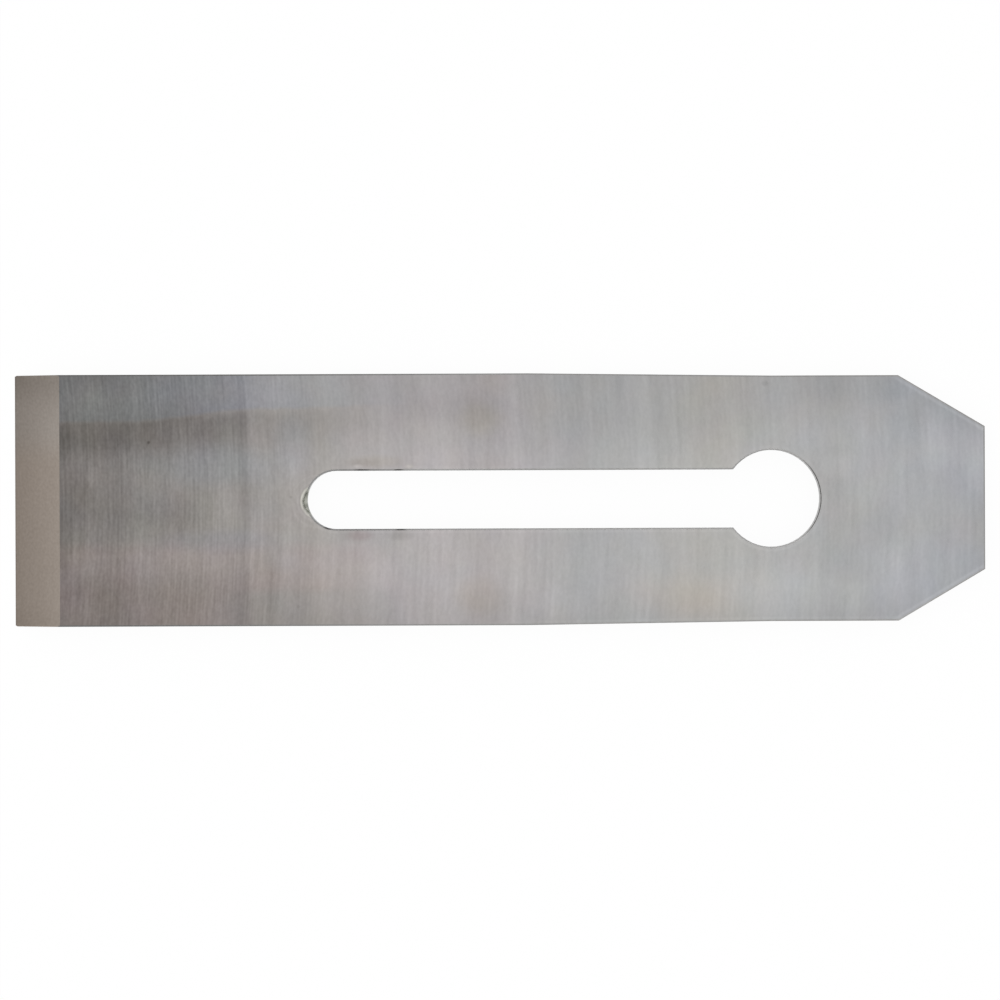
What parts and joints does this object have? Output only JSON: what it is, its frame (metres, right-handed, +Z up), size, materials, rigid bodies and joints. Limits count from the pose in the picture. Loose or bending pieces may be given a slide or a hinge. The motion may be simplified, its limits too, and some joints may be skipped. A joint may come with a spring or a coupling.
{
  "type": "plane iron",
  "caption": "Flat steel blade for a bench plane, with a ground bevel at one end, clipped corners at the other and a keyhole slot for a cap iron's screw.",
  "frame": {"origin": "on the flat back, under the middle of the overall length and width", "axes": "+X from the cutting edge to the head, +Y across the width, +Z up out of the bevel side"},
  "size_m": [0.2, 0.0518, 0.0045],
  "materials": {
    "ground_steel": "surface-ground tool steel with fine grinding lines across the width; the bevel is ground matte"
  },
  "bodies": {
    "root": {"plane_iron": "ground_steel"}
  },
  "joints": []
}
